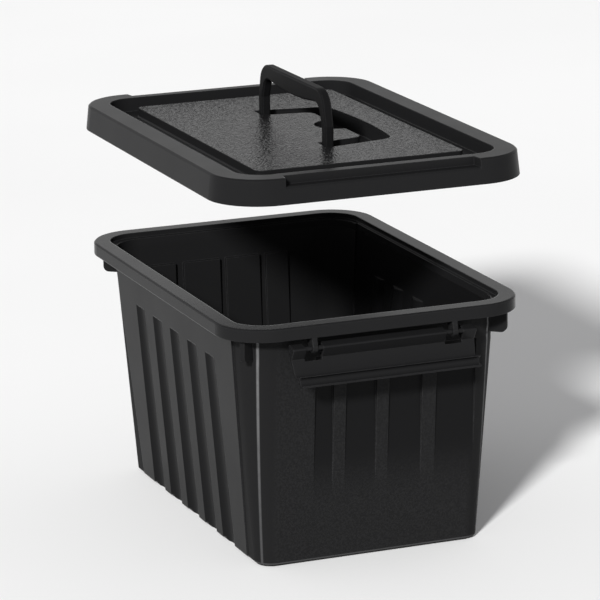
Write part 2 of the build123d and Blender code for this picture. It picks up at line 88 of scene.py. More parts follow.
# Grains: pits of the tub's walls, pebbles of the lid panel, and the skin on all mouldings
TEXTURE_DETAIL = 2.0
TEXTURE_ROUGHNESS = 0.6
BROAD_PIT_SCALE = 0.31
BROAD_PIT_DETAIL = 1.0
BROAD_PIT_ROUGHNESS = 0.5
FINE_PIT_SHARE = 0.7
# Painted glints: the peaks of the fine pits that are lightened in colour as sparkle
GLINT_START = 0.36
GLINT_FULL = 0.66
PEBBLE_WARP_SCALE = 0.45
PEBBLE_RANDOMNESS = 0.95
PEBBLE_DOME = 0.34
PEBBLE_SKIN_SCALE = 2.4
PEBBLE_SHARE = 0.75
SKIN_SHARE = 0.3

# Soft edges; their start and full wear are cosines between the rounded and the flat normal
EDGE_SAMPLES = 6
EDGE_START = 0.99
EDGE_FULL = 0.86

# Handling marks, and the painted glints on the grain
CLOUD_SCALE = 22.0
CLOUD_DETAIL = 4.0
CLOUD_ROUGHNESS = 0.55
CLOUD_MIDDLE = 0.5
SPECK_SCALE = 900.0
DUST_CLOUD_START = 0.42
DUST_CLOUD_FULL = 0.72
DUST_SPECK_START = 0.60
DUST_SPECK_FULL = 0.80
DUST_SHARE = 0.125
EDGE_RUB_START = 0.35
EDGE_RUB_FULL = 0.65
EDGE_RUB_LEAST = 0.05
EDGE_RUB_MOST = 0.45
EDGE_POLISH_GAIN = 2.2
EDGE_POLISH = -0.20
GLINT_SHARE = 0.14
ROUGHNESS_DRIFT = 0.10

# Stage: the floor's faint patches, where the surroundings change, and the camera
FLOOR_RADIUS = 9.0
FLOOR_SIDES = 96
FLOOR_DROP = 0.0002
FLOOR_TONE_SCALE = 1.3
FLOOR_TONE_DETAIL = 3.0
FLOOR_TONE_ROUGHNESS = 0.5
FLOOR_TONE_START = 0.3
FLOOR_TONE_FULL = 0.7
FLOOR_PATCH_SHADE = 0.975
FLOOR_ROUGHNESS = 0.7
BACKDROP_START = -0.5
BACKDROP_FULL = 0.6
ZENITH_START = 0.30
ZENITH_FULL = 0.85
SENSOR_WIDTH = 36.0
CLIP_START = 0.05
CLIP_END = 50.0


class PlasticFinish(bpy.types.PropertyGroup):
    """Colours and textures of the black mouldings."""

    body_colour: FloatVectorProperty(
        name="Body colour",
        description="Colour of the tub and the latches",
        subtype="COLOR",
        size=3,
        min=0.0,
        max=1.0,
        default=(0.0110, 0.0110, 0.0114),
    )
    lid_colour: FloatVectorProperty(
        name="Lid colour",
        description="Colour of the lid",
        subtype="COLOR",
        size=3,
        min=0.0,
        max=1.0,
        default=(0.0105, 0.0105, 0.0109),
    )
    handle_colour: FloatVectorProperty(
        name="Handle colour",
        description="Colour of the bail handle",
        subtype="COLOR",
        size=3,
        min=0.0,
        max=1.0,
        default=(0.0065, 0.0065, 0.0068),
    )
    grained_colour: FloatVectorProperty(
        name="Grained colour",
        description="Colour between the painted glints on the tub's grained ends and corners",
        subtype="COLOR",
        size=3,
        min=0.0,
        max=1.0,
        default=(0.0101, 0.0101, 0.0104),
    )
    polished_colour: FloatVectorProperty(
        name="Polished colour",
        description="Colour of the tub's side panels and of the sunk fields on its ends",
        subtype="COLOR",
        size=3,
        min=0.0,
        max=1.0,
        default=(0.0066, 0.0066, 0.0069),
    )
    # Painted highlight: pale colour of the lines on the tub's corners and base edge, standing in for
    # reflections
    painted_highlight_colour: FloatVectorProperty(
        name="Painted highlight colour",
        description="Colour of the painted highlight lines along the tub's upright corners and base edge",
        subtype="COLOR",
        size=3,
        min=0.0,
        max=1.0,
        default=(0.115, 0.115, 0.117),
    )
    # Shared by real scuffs and dust and by the painted glints on the grain
    scuff_and_glint_colour: FloatVectorProperty(
        name="Scuff and glint colour",
        description="Colour of scuffed edges, faint dust and the painted glints of the grain",
        subtype="COLOR",
        size=3,
        min=0.0,
        max=1.0,
        default=(0.042, 0.042, 0.043),
    )
    satin_roughness: FloatProperty(
        name="Satin roughness",
        description="Roughness of the smooth moulded faces",
        subtype="FACTOR",
        min=0.0,
        max=1.0,
        default=0.22,
    )
    lid_roughness: FloatProperty(
        name="Lid roughness",
        description="Roughness of the lid's band, channel and skirt",
        subtype="FACTOR",
        min=0.0,
        max=1.0,
        default=0.34,
    )
    handle_roughness: FloatProperty(
        name="Handle roughness",
        description="Roughness of the bail handle",
        subtype="FACTOR",
        min=0.0,
        max=1.0,
        default=0.50,
    )
    grained_roughness: FloatProperty(
        name="Grained roughness",
        description="Roughness of the tub's grained ends and corners",
        subtype="FACTOR",
        min=0.0,
        max=1.0,
        default=0.60,
    )
    side_panel_roughness: FloatProperty(
        name="Side panel roughness",
        description="Roughness of the tub's side panels and of the sunk fields on its ends",
        subtype="FACTOR",
        min=0.0,
        max=1.0,
        default=0.32,
    )
    lid_panel_roughness: FloatProperty(
        name="Lid panel roughness",
        description="Roughness of the leather-grained lid panel",
        subtype="FACTOR",
        min=0.0,
        max=1.0,
        default=0.19,
    )
    specular_level: FloatProperty(
        name="Specular level",
        description="Strength of the plastic's surface reflection",
        subtype="FACTOR",
        min=0.0,
        max=1.0,
        default=0.045,
    )
    grain_size: FloatProperty(
        name="Grain size",
        description="Size of the fine spark grain",
        unit="LENGTH",
        min=0.0001,
        max=0.01,
        default=0.0013,
    )
    grain_height: FloatProperty(
        name="Grain height",
        description="Depth of the fine spark grain",
        unit="LENGTH",
        min=0.0,
        max=0.001,
        default=0.00006,
    )
    leather_size: FloatProperty(
        name="Leather grain size",
        description="Size of the pebbles on the lid panel",
        unit="LENGTH",
        min=0.0002,
        max=0.02,
        default=0.0028,
    )
    leather_height: FloatProperty(
        name="Leather grain height",
        description="Height of the pebbles on the lid panel",
        unit="LENGTH",
        min=0.0,
        max=0.001,
        default=0.00030,
    )
    edge_radius: FloatProperty(
        name="Edge radius",
        description="Softening of the moulded edges",
        unit="LENGTH",
        min=0.0,
        max=0.005,
        default=0.0010,
    )


class StageLook(bpy.types.PropertyGroup):
    """Floor, light and camera round the box."""

    floor_colour: FloatVectorProperty(
        name="Floor colour",
        description="Colour of the plain pale floor",
        subtype="COLOR",
        size=3,
        min=0.0,
        max=1.0,
        default=(0.88, 0.88, 0.875),
    )
    backdrop_colour: FloatVectorProperty(
        name="Backdrop colour",
        description="Colour of the surroundings behind the box and in all reflections",
        subtype="COLOR",
        size=3,
        min=0.0,
        max=1.0,
        default=(0.88, 0.88, 0.88),
    )
    horizon_colour: FloatVectorProperty(
        name="Horizon colour",
        description="Colour that the camera sees beyond the floor",
        subtype="COLOR",
        size=3,
        min=0.0,
        max=1.0,
        default=(0.91, 0.91, 0.91),
    )
    room_colour: FloatVectorProperty(
        name="Room colour",
        description="Colour of the surroundings in front of the box",
        subtype="COLOR",
        size=3,
        min=0.0,
        max=1.0,
        default=(0.36, 0.36, 0.36),
    )
    zenith_colour: FloatVectorProperty(
        name="Zenith colour",
        description="Colour of the surroundings overhead",
        subtype="COLOR",
        size=3,
        min=0.0,
        max=1.0,
        default=(0.30, 0.30, 0.31),
    )
    key_strength: FloatProperty(
        name="Key strength",
        description="Strength of the broad soft light at the front left",
        min=0.0,
        max=50.0,
        default=4.6,
    )
    key_spread: FloatProperty(
        name="Key spread",
        description="Breadth of the soft light as seen from the box",
        subtype="ANGLE",
        default=math.radians(7.0),
    )
    key_azimuth: FloatProperty(
        name="Key azimuth",
        description="Angle of the soft light round the box, from the front towards the right",
        subtype="ANGLE",
        default=math.radians(-40.0),
    )
    key_elevation: FloatProperty(
        name="Key elevation",
        description="Angle of the soft light above the floor",
        subtype="ANGLE",
        default=math.radians(27.3),
    )
    view_azimuth: FloatProperty(
        name="View azimuth",
        description="Angle of the camera round the box",
        subtype="ANGLE",
        default=math.radians(-21.61),
    )
    view_elevation: FloatProperty(
        name="View elevation",
        description="Angle of the camera above the floor",
        subtype="ANGLE",
        default=math.radians(14.45),
    )
    view_roll: FloatProperty(
        name="View roll",
        description="Turn of the camera about its line of sight",
        subtype="ANGLE",
        default=math.radians(-0.92),
    )
    view_place: FloatVectorProperty(
        name="View place",
        description="Where the camera stands",
        subtype="TRANSLATION",
        unit="LENGTH",
        size=3,
        default=(-0.92470, -2.33744, 0.79922),
    )
    view_lens: FloatProperty(
        name="View lens",
        description="Focal length of the camera in millimetres",
        min=1.0,
        max=1000.0,
        default=216.24,
    )


def finish_of(context):
    """The plastic's settings."""
    return context.scene.storage_box_finish


def stage_of(context):
    """The stage's settings."""
    return context.scene.storage_box_stage


def new_group(name, inputs, outputs):
    """An empty shader node group with named sockets."""
    group = bpy.data.node_groups.new(name, "ShaderNodeTree")
    for label, kind in inputs.items():
        group.interface.new_socket(label, in_out="INPUT", socket_type=kind)
    for label, kind in outputs.items():
        group.interface.new_socket(label, in_out="OUTPUT", socket_type=kind)
    entry = group.nodes.new("NodeGroupInput")
    leave = group.nodes.new("NodeGroupOutput")
    return group, entry.outputs, leave.inputs


def place(tree, group, vector=None, values=None):
    """A node that stands for a group in a material, with its coordinates and its own values."""
    node = tree.nodes.new("ShaderNodeGroup")
    node.node_tree = group
    if vector is not None:
        tree.links.new(vector, node.inputs["Vector"])
    for label, value in (values or {}).items():
        node.inputs[label].default_value = value
    return node


def feed(tree, value, socket):
    """Join a socket to another, or set a number on it."""
    if isinstance(value, (int, float)):
        socket.default_value = value
    else:
        tree.links.new(value, socket)


def add_math(tree, operation, first, second=None, clamp=False):
    """A Math node fed by sockets or numbers; gives its output socket."""
    node = tree.nodes.new("ShaderNodeMath")
    node.operation = operation
    node.use_clamp = clamp
    feed(tree, first, node.inputs[0])
    if second is not None:
        feed(tree, second, node.inputs[1])
    return node.outputs[0]


def add_range(tree, value, start, end, low=0.0, high=1.0):
    """A value that goes smoothly from low to high while another goes from start to end."""
    node = tree.nodes.new("ShaderNodeMapRange")
    node.interpolation_type = "SMOOTHSTEP"
    tree.links.new(value, node.inputs["Value"])
    for label, number in (("From Min", start), ("From Max", end), ("To Min", low), ("To Max", high)):
        node.inputs[label].default_value = number
    return node.outputs["Result"]


def add_noise(tree, vector, scale, detail, roughness):
    """A noise texture in object space; gives its Fac socket."""
    node = tree.nodes.new("ShaderNodeTexNoise")
    node.inputs["Detail"].default_value = detail
    node.inputs["Roughness"].default_value = roughness
    feed(tree, scale, node.inputs["Scale"])
    tree.links.new(vector, node.inputs["Vector"])
    return node.outputs["Fac"]


def add_relief(tree, height, depth, normal):
    """A Bump node on top of another normal; gives its normal socket."""
    node = tree.nodes.new("ShaderNodeBump")
    node.inputs["Strength"].default_value = 1.0
    node.inputs["Distance"].default_value = depth
    tree.links.new(height, node.inputs["Height"])
    tree.links.new(normal, node.inputs["Normal"])
    return node.outputs["Normal"]


def share_out(tree, first, second, share):
    """Two sockets added, the first by its share and the second by the rest."""
    part = add_math(tree, "MULTIPLY", first, share)
    rest = add_math(tree, "MULTIPLY", second, 1.0 - share)
    return add_math(tree, "ADD", part, rest)


def blend_values(tree, mask, outside, inside):
    """A value that goes from outside to inside with a mask; sockets or numbers."""
    node = tree.nodes.new("ShaderNodeMapRange")
    tree.links.new(mask, node.inputs["Value"])
    feed(tree, outside, node.inputs["To Min"])
    feed(tree, inside, node.inputs["To Max"])
    return node.outputs["Result"]


def blend_colours(tree, mask, outside, inside):
    """A colour that goes from outside to inside with a mask; sockets or colours."""
    node = tree.nodes.new("ShaderNodeMix")
    node.data_type = "RGBA"
    tree.links.new(mask, node.inputs["Factor"])
    for index, colour in ((6, outside), (7, inside)):
        if isinstance(colour, bpy.types.NodeSocket):
            tree.links.new(colour, node.inputs[index])
        else:
            node.inputs[index].default_value = (*colour, 1.0)
    return node.outputs[2]


def split_axes(tree, vector):
    """The X, Y and Z sockets of a vector."""
    node = tree.nodes.new("ShaderNodeSeparateXYZ")
    tree.links.new(vector, node.inputs["Vector"])
    return [node.outputs[axis] for axis in ("X", "Y", "Z")]


def beyond_zero(tree, distance):
    """Mask of where a distance is above zero, with a soft step."""
    return add_range(tree, distance, 0.0, MASK_FEATHER)


def spark_grain_group():
    """Fine irregular pits of a spark-eroded mould: a height between 0 and 1, and painted glints on the
    peaks of the fine pits.
    """
    name = "Spark grain"
    if name in bpy.data.node_groups:
        return bpy.data.node_groups[name]
    group, entry, leave = new_group(
        name,
        {"Vector": VECTOR, "Size": FLOAT},
        {"Height": FLOAT, "Glint": FLOAT},
    )
    scale = add_math(group, "DIVIDE", 1.0, entry["Size"])
    fine = add_noise(group, entry["Vector"], scale, TEXTURE_DETAIL, TEXTURE_ROUGHNESS)
    broad_scale = add_math(group, "MULTIPLY", scale, BROAD_PIT_SCALE)
    broad = add_noise(group, entry["Vector"], broad_scale, BROAD_PIT_DETAIL, BROAD_PIT_ROUGHNESS)
    group.links.new(share_out(group, fine, broad, FINE_PIT_SHARE), leave["Height"])
    # Painted glints: the peaks of the fine pits, to be lightened in colour as sparkle
    group.links.new(add_range(group, fine, GLINT_START, GLINT_FULL), leave["Glint"])
    return group


def leather_grain_group():
    """Raised pebbles with sunk creases, as a height between 0 and 1."""
    name = "Leather grain"
    if name in bpy.data.node_groups:
        return bpy.data.node_groups[name]
    group, entry, leave = new_group(
        name,
        {"Vector": VECTOR, "Size": FLOAT},
        {"Height": FLOAT},
    )
    scale = add_math(group, "DIVIDE", 1.0, entry["Size"])
    warp = group.nodes.new("ShaderNodeTexNoise")
    warp.inputs["Detail"].default_value = TEXTURE_DETAIL
    group.links.new(entry["Vector"], warp.inputs["Vector"])
    group.links.new(add_math(group, "MULTIPLY", scale, PEBBLE_WARP_SCALE), warp.inputs["Scale"])
    spread = group.nodes.new("ShaderNodeCombineXYZ")
    for axis in ("X", "Y", "Z"):
        group.links.new(entry["Size"], spread.inputs[axis])
    shift = group.nodes.new("ShaderNodeVectorMath")
    shift.operation = "MULTIPLY_ADD"
    group.links.new(warp.outputs["Color"], shift.inputs[0])
    group.links.new(spread.outputs["Vector"], shift.inputs[1])
    group.links.new(entry["Vector"], shift.inputs[2])
    pebble = group.nodes.new("ShaderNodeTexVoronoi")
    pebble.feature = "DISTANCE_TO_EDGE"
    pebble.inputs["Randomness"].default_value = PEBBLE_RANDOMNESS
    group.links.new(shift.outputs["Vector"], pebble.inputs["Vector"])
    group.links.new(scale, pebble.inputs["Scale"])
    dome = add_range(group, pebble.outputs["Distance"], 0.0, PEBBLE_DOME)
    fine_scale = add_math(group, "MULTIPLY", scale, PEBBLE_SKIN_SCALE)
    fine = add_noise(group, entry["Vector"], fine_scale, TEXTURE_DETAIL, TEXTURE_ROUGHNESS)
    group.links.new(share_out(group, dome, fine, PEBBLE_SHARE), leave["Height"])
    return group


def soft_edge_group():
    """Normals rounded over the moulded edges, and a mask of those edges."""
    name = "Soft edge"
    if name in bpy.data.node_groups:
        return bpy.data.node_groups[name]
    group, entry, leave = new_group(
        name,
        {"Radius": FLOAT},
        {"Normal": VECTOR, "Edge": FLOAT},
    )
    bevel = group.nodes.new("ShaderNodeBevel")
    bevel.samples = EDGE_SAMPLES
    group.links.new(entry["Radius"], bevel.inputs["Radius"])
    flat = group.nodes.new("ShaderNodeNewGeometry")
    dot = group.nodes.new("ShaderNodeVectorMath")
    dot.operation = "DOT_PRODUCT"
    group.links.new(bevel.outputs["Normal"], dot.inputs[0])
    group.links.new(flat.outputs["Normal"], dot.inputs[1])
    group.links.new(bevel.outputs["Normal"], leave["Normal"])
    group.links.new(add_range(group, dot.outputs["Value"], EDGE_START, EDGE_FULL), leave["Edge"])
    return group


def handling_and_glint_group():
    """Rubbed edges, faint dust and painted glints of the grain, for colour and roughness."""
    name = "Handling marks"
    if name in bpy.data.node_groups:
        return bpy.data.node_groups[name]
    group, entry, leave = new_group(
        name,
        {
            "Vector": VECTOR,
            "Colour": COLOUR,
            "Scuff And Glint Colour": COLOUR,
            "Edge": FLOAT,
            "Glint": FLOAT,
            "Roughness": FLOAT,
        },
        {"Colour": COLOUR, "Roughness": FLOAT},
    )
    cloud = add_noise(group, entry["Vector"], CLOUD_SCALE, CLOUD_DETAIL, CLOUD_ROUGHNESS)
    speck = add_noise(group, entry["Vector"], SPECK_SCALE, TEXTURE_DETAIL, TEXTURE_ROUGHNESS)
    patch = add_range(group, cloud, DUST_CLOUD_START, DUST_CLOUD_FULL)
    specks = add_range(group, speck, DUST_SPECK_START, DUST_SPECK_FULL, 0.0, DUST_SHARE)
    dusty = add_math(group, "MULTIPLY", patch, specks)
    rub = add_range(group, speck, EDGE_RUB_START, EDGE_RUB_FULL, EDGE_RUB_LEAST, EDGE_RUB_MOST)
    rubbed_and_highlight = add_math(group, "MULTIPLY", entry["Edge"], rub)
    # Painted glints: the grain's peaks are lightened towards the scuff and glint colour
    glinting = add_math(group, "MULTIPLY", entry["Glint"], GLINT_SHARE)
    amount = add_math(group, "ADD", rubbed_and_highlight, add_math(group, "ADD", dusty, glinting), clamp=True)
    colour = blend_colours(group, amount, entry["Colour"], entry["Scuff And Glint Colour"])
    group.links.new(colour, leave["Colour"])
    from_middle = add_math(group, "SUBTRACT", cloud, CLOUD_MIDDLE)
    drift = add_math(group, "MULTIPLY", from_middle, ROUGHNESS_DRIFT)
    wear_and_breakup = add_math(group, "MULTIPLY", entry["Edge"], EDGE_POLISH_GAIN, clamp=True)
    polish = add_math(group, "MULTIPLY", wear_and_breakup, EDGE_POLISH)
    change = add_math(group, "ADD", drift, polish)
    rough = add_math(group, "ADD", entry["Roughness"], change, clamp=True)
    group.links.new(rough, leave["Roughness"])
    return group


def block_mask_group():
    """1 inside a block given by its low and high corners, 0 outside."""
    name = "Block mask"
    if name in bpy.data.node_groups:
        return bpy.data.node_groups[name]
    group, entry, leave = new_group(
        name,
        {"Vector": VECTOR, "Low": VECTOR, "High": VECTOR},
        {"Mask": FLOAT},
    )
    gaps = []
    for upper, lower in (("Vector", "Low"), ("High", "Vector")):
        gap = group.nodes.new("ShaderNodeVectorMath")
        gap.operation = "SUBTRACT"
        group.links.new(entry[upper], gap.inputs[0])
        group.links.new(entry[lower], gap.inputs[1])
        gaps.extend(split_axes(group, gap.outputs["Vector"]))
    least = gaps[0]
    for gap in gaps[1:]:
        least = add_math(group, "MINIMUM", least, gap)
    group.links.new(beyond_zero(group, least), leave["Mask"])
    return group


def side_panel_group():
    """1 on the raised side panels of the tub, which widen upwards, 0 on its ends and corners."""
    name = "Side panel mask"
    if name in bpy.data.node_groups:
        return bpy.data.node_groups[name]
    group, entry, leave = new_group(
        name,
        {"Vector": VECTOR, "Foot Half": FLOAT, "Spread": FLOAT},
        {"Mask": FLOAT},
    )
    _, y, z = split_axes(group, entry["Vector"])
    widening = add_math(group, "MULTIPLY", z, entry["Spread"])
    half = add_math(group, "ADD", entry["Foot Half"], widening)
    inside = add_math(group, "SUBTRACT", half, add_math(group, "ABSOLUTE", y))
    group.links.new(beyond_zero(group, inside), leave["Mask"])
    return group


def before_plane(group, y, z, foot, lean):
    """Mask of what stands outside a leaning plane within the tub's short walls."""
    plane = add_math(group, "ADD", add_math(group, "MULTIPLY", z, lean), foot)
    before = add_math(group, "SUBTRACT", add_math(group, "ABSOLUTE", y), plane)
    return beyond_zero(group, before)


def end_wall_group():
    """Masks of the tub's short walls: their sunk fields, fading at the foot, and their grained face."""
    name = "End wall masks"
    if name in bpy.data.node_groups:
        return bpy.data.node_groups[name]
    group, entry, leave = new_group(
        name,
        {"Vector": VECTOR},
        {"Field": FLOAT, "Grain": FLOAT},
    )
    x, y, z = split_axes(group, entry["Vector"])
    turned = add_math(group, "MULTIPLY", add_math(group, "SIGN", y), -1.0)
    across = add_math(group, "MULTIPLY", x, turned)
    widest = None
    for low, high in FIELD_EDGES:
        from_low = add_math(group, "SUBTRACT", across, low)
        from_high = add_math(group, "SUBTRACT", high, across)
        inside = add_math(group, "MINIMUM", from_low, from_high)
        widest = inside if widest is None else add_math(group, "MAXIMUM", widest, inside)
    sunk = beyond_zero(group, widest)
    risen = add_range(group, z, FIELD_FADE_START, FIELD_FADE_END)
    under = add_range(group, z, FIELD_TOP, FIELD_TOP + MASK_FEATHER, 1.0, 0.0)
    upright = add_math(group, "MULTIPLY", risen, under)
    before_field = before_plane(group, y, z, FIELD_BACK_FOOT, FIELD_BACK_LEAN)
    field = add_math(group, "MULTIPLY", sunk, add_math(group, "MULTIPLY", upright, before_field))
    group.links.new(field, leave["Field"])
    half = add_math(group, "ABSOLUTE", x)
    flat = add_range(group, half, GRAIN_HALF_FULL, GRAIN_HALF_END, 1.0, 0.0)
    before_wall = before_plane(group, y, z, GRAIN_BACK_FOOT, GRAIN_BACK_LEAN)
    group.links.new(add_math(group, "MULTIPLY", flat, before_wall), leave["Grain"])
    return group


def painted_highlight_lines_group():
    """Mask of painted highlights: 1 along a thin upright line on each corner of the tub, and less along
    its base edge.
    """
    name = "Rub lines"
    if name in bpy.data.node_groups:
        return bpy.data.node_groups[name]
    group, entry, leave = new_group(
        name,
        {"Vector": VECTOR},
        {"Mask": FLOAT},
    )
    x, y, z = split_axes(group, entry["Vector"])
    out_x = add_math(group, "SUBTRACT", add_math(group, "ABSOLUTE", x), CORNER_CENTRE[0])
    out_y = add_math(group, "SUBTRACT", add_math(group, "ABSOLUTE", y), CORNER_CENTRE[1])

    # How far aside of the line on the corner a point is
    twist = add_math(group, "MULTIPLY", z, CORNER_HIGHLIGHT_TWIST)
    angle = add_math(group, "ADD", twist, CORNER_HIGHLIGHT_FOOT_ANGLE)
    along_x = add_math(group, "MULTIPLY", out_x, add_math(group, "SINE", angle))
    along_y = add_math(group, "MULTIPLY", out_y, add_math(group, "COSINE", angle))
    aside = add_math(group, "ABSOLUTE", add_math(group, "SUBTRACT", along_x, along_y))
    line = add_range(group, aside, CORNER_HIGHLIGHT_CORE, CORNER_HIGHLIGHT_EDGE, 1.0, 0.0)
    rising = add_range(group, z, 0.0, tub_high.z, CORNER_HIGHLIGHT_FOOT_SHARE, 1.0)
    corner = add_math(group, "MULTIPLY", line, rising)

    # The line along the base edge, and the noise that breaks up both painted highlight lines
    from_base = add_math(group, "ABSOLUTE", add_math(group, "SUBTRACT", z, BASE_HIGHLIGHT_HEIGHT))
    base = add_range(group, from_base, BASE_HIGHLIGHT_CORE, BASE_HIGHLIGHT_EDGE, BASE_HIGHLIGHT_SHARE, 0.0)
    rubbed_and_highlight = add_math(group, "MAXIMUM", corner, base)
    highlight_breakup = add_noise(group, entry["Vector"], HIGHLIGHT_BREAKUP_SCALE, HIGHLIGHT_BREAKUP_DETAIL, HIGHLIGHT_BREAKUP_ROUGHNESS)
    wear_and_breakup = add_range(group, highlight_breakup, HIGHLIGHT_BREAKUP_START, HIGHLIGHT_BREAKUP_FULL, HIGHLIGHT_BREAKUP_LEAST, 1.0)

    # Only the outer face of the wall, which is a rounded rectangle at each height
    reach_x = add_math(group, "MAXIMUM", out_x, 0.0)
    reach_y = add_math(group, "MAXIMUM", out_y, 0.0)
    square_x = add_math(group, "MULTIPLY", reach_x, reach_x)
    square_y = add_math(group, "MULTIPLY", reach_y, reach_y)
    reach = add_math(group, "SQRT", add_math(group, "ADD", square_x, square_y))
    spread = add_math(group, "MULTIPLY", z, CORNER_SPREAD)
    radius = add_math(group, "ADD", spread, CORNER_FOOT_RADIUS)
    proud = add_math(group, "SUBTRACT", reach, radius)
    outside = add_range(group, proud, -HALF_WALL, MASK_FEATHER - HALF_WALL)
    mask = add_math(group, "MULTIPLY", rubbed_and_highlight, add_math(group, "MULTIPLY", outside, wear_and_breakup))
    group.links.new(mask, leave["Mask"])
    return group


def new_material(name):
    """A material with one Principled shader; gives it with its tree, shader and object coordinates."""
    material = bpy.data.materials.new(name)
    material.use_nodes = True
    tree = material.node_tree
    shader = tree.nodes["Principled BSDF"]
    coords = tree.nodes.new("ShaderNodeTexCoord")
    return material, tree, shader, coords.outputs["Object"]


class Plastic:
    """A black moulded plastic in the making: soft edges, a faint skin grain and handling marks."""

    def __init__(self, name, finish, colour, roughness):
        self.material, self.tree, self.shader, self.vector = new_material(name)
        tree = self.tree
        edges = place(tree, soft_edge_group(), values={"Radius": finish.edge_radius})
        self.grain = place(tree, spark_grain_group(), self.vector, {"Size": finish.grain_size})
        self.marks = place(tree, handling_and_glint_group(), self.vector, {
            "Colour": (*colour, 1.0),
            "Scuff And Glint Colour": (*finish.scuff_and_glint_colour, 1.0),
            "Roughness": roughness,
        })
        tree.links.new(edges.outputs["Edge"], self.marks.inputs["Edge"])
        skin_height = finish.grain_height * SKIN_SHARE
        self.normal = add_relief(tree, self.grain.outputs["Height"], skin_height, edges.outputs["Normal"])
        self.shader.inputs["Specular IOR Level"].default_value = finish.specular_level

    def finished(self):
        """Join the marks and the relief to the shader, and give the material."""
        links = self.tree.links
        links.new(self.marks.outputs["Colour"], self.shader.inputs["Base Color"])
        links.new(self.marks.outputs["Roughness"], self.shader.inputs["Roughness"])
        links.new(self.normal, self.shader.inputs["Normal"])
        return self.material


def tub_plastic(finish):
    """Satin rim, polished side panels and sunk fields, spark-grained ends with painted glints, and painted
    highlight lines along the corners and base edge.
    """
    plastic = Plastic("Tub plastic", finish, finish.body_colour, finish.satin_roughness)
    tree = plastic.tree
    vector = plastic.vector
    walls = place(tree, block_mask_group(), vector, {
        "Low": (tub_low.x, tub_low.y, tub_low.z - MASK_FEATHER),
        "High": (tub_high.x, tub_high.y, tub_high.z - RIM_SKIRT_HEIGHT),
    }).outputs["Mask"]
    sides = place(tree, side_panel_group(), vector, {
        "Foot Half": SIDE_PANEL_FOOT_HALF,
        "Spread": SIDE_PANEL_SPREAD,
    }).outputs["Mask"]
    ends = place(tree, end_wall_group(), vector)
    painted_highlights = place(tree, painted_highlight_lines_group(), vector)
    smooth = add_math(tree, "MAXIMUM", sides, ends.outputs["Field"])

    wall_rough = blend_values(tree, smooth, finish.grained_roughness, finish.side_panel_roughness)
    rough = blend_values(tree, walls, finish.satin_roughness, wall_rough)
    tree.links.new(rough, plastic.marks.inputs["Roughness"])

    wall_colour = blend_colours(tree, smooth, finish.grained_colour, finish.polished_colour)
    colour = blend_colours(tree, walls, finish.body_colour, wall_colour)
    # Painted highlights: pale lines on the corners and base edge stand in for reflections
    painted_highlight_mask = add_math(tree, "MULTIPLY", painted_highlights.outputs["Mask"], walls)
    colour = blend_colours(tree, painted_highlight_mask, colour, finish.painted_highlight_colour)
    tree.links.new(colour, plastic.marks.inputs["Colour"])

    plain = add_math(tree, "MULTIPLY", walls, add_math(tree, "SUBTRACT", 1.0, smooth))
    grained = add_math(tree, "MULTIPLY", plain, ends.outputs["Grain"])
    height = add_math(tree, "MULTIPLY", plastic.grain.outputs["Height"], grained)
    plastic.normal = add_relief(tree, height, finish.grain_height, plastic.normal)
    # Painted glints: the grain's peaks on the grained faces are lightened as sparkle
    glint = add_math(tree, "MULTIPLY", plastic.grain.outputs["Glint"], grained)
    tree.links.new(glint, plastic.marks.inputs["Glint"])
    return plastic.finished()


def lid_plastic(finish):
    """Satin band and channel round a leather-grained panel."""
    plastic = Plastic("Lid plastic", finish, finish.lid_colour, finish.lid_roughness)
    tree = plastic.tree
    panel_z = lid_high.z - LID_PANEL_DROP
    panel = place(tree, block_mask_group(), plastic.vector, {
        "Low": (-LID_PANEL_HALF_WIDTH, -LID_PANEL_HALF_LENGTH, panel_z - LID_PANEL_BELOW),
        "High": (LID_PANEL_HALF_WIDTH, LID_PANEL_HALF_LENGTH, panel_z + LID_PANEL_ABOVE),
    }).outputs["Mask"]
    pebbles = place(tree, leather_grain_group(), plastic.vector, {"Size": finish.leather_size})
    height = add_math(tree, "MULTIPLY", pebbles.outputs["Height"], panel)
    plastic.normal = add_relief(tree, height, finish.leather_height, plastic.normal)
    rough = blend_values(tree, panel, finish.lid_roughness, finish.lid_panel_roughness)
    tree.links.new(rough, plastic.marks.inputs["Roughness"])
    return plastic.finished()


def dress(node_name, material):
    """Give a CAD node its finish in the slot that it came with."""
    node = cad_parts[node_name]
    if not node.material_slots:
        node.data.materials.append(material)
    for slot in node.material_slots:
        slot.link = "OBJECT"
        slot.material = material


class STORAGEBOX_OT_finish_tub(bpy.types.Operator):
    """Finish the tub: grained ends and polished side panels under a satin rim"""

    bl_idname = "storage_box.finish_tub"
    bl_label = "Finish Tub"

    def execute(self, context):
        dress("tub", tub_plastic(finish_of(context)))
        return {"FINISHED"}


class STORAGEBOX_OT_finish_lid(bpy.types.Operator):
    """Finish the lid: satin band and channel, leather-grained panel"""

    bl_idname = "storage_box.finish_lid"
    bl_label = "Finish Lid"

    def execute(self, context):
        dress("lid", lid_plastic(finish_of(context)))
        return {"FINISHED"}


class STORAGEBOX_OT_finish_handle(bpy.types.Operator):
    """Finish the bail handle in smooth satin plastic"""

    bl_idname = "storage_box.finish_handle"
    bl_label = "Finish Handle"

    def execute(self, context):
        finish = finish_of(context)
        plastic = Plastic("Handle plastic", finish, finish.handle_colour, finish.handle_roughness)
        dress("lid_handle", plastic.finished())
        return {"FINISHED"}


class STORAGEBOX_OT_finish_latches(bpy.types.Operator):
    """Finish the two latch bars in smooth satin plastic"""

    bl_idname = "storage_box.finish_latches"
    bl_label = "Finish Latches"

    def execute(self, context):
        finish = finish_of(context)
        plastic = Plastic("Latch plastic", finish, finish.body_colour, finish.satin_roughness)
        material = plastic.finished()
        for node_name in ("front_latch", "rear_latch"):
            dress(node_name, material)
        return {"FINISHED"}


